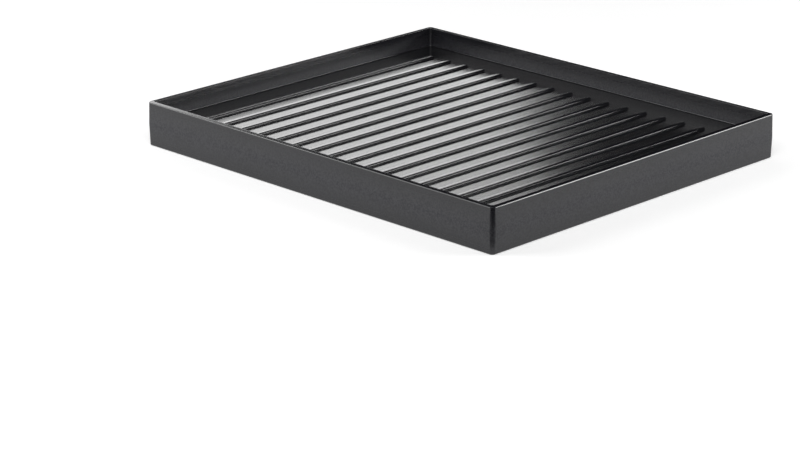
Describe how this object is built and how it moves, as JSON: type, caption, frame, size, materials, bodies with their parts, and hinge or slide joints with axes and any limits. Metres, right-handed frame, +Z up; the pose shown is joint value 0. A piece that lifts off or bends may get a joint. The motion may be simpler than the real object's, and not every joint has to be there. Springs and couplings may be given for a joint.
{
  "type": "reversible grill plate",
  "caption": "Rectangular two-sided cooking plate: a ribbed tray for grilling on one face and a smooth griddle tray on the other, inside a low drafted rim.",
  "frame": {"origin": "centre of the footprint, on the surface that the smooth side's rim rests on", "axes": "+Z up out of the ribbed tray, X along the ribs, Y across the ribs along the long side"},
  "size_m": [0.3, 0.35, 0.0335],
  "materials": {
    "black_coated_casting": "baked black coating, satin and finely pebbled on the tray floors, finely sandy on the walls"
  },
  "bodies": {
    "root": {"grill_plate": "black_coated_casting"}
  },
  "joints": []
}
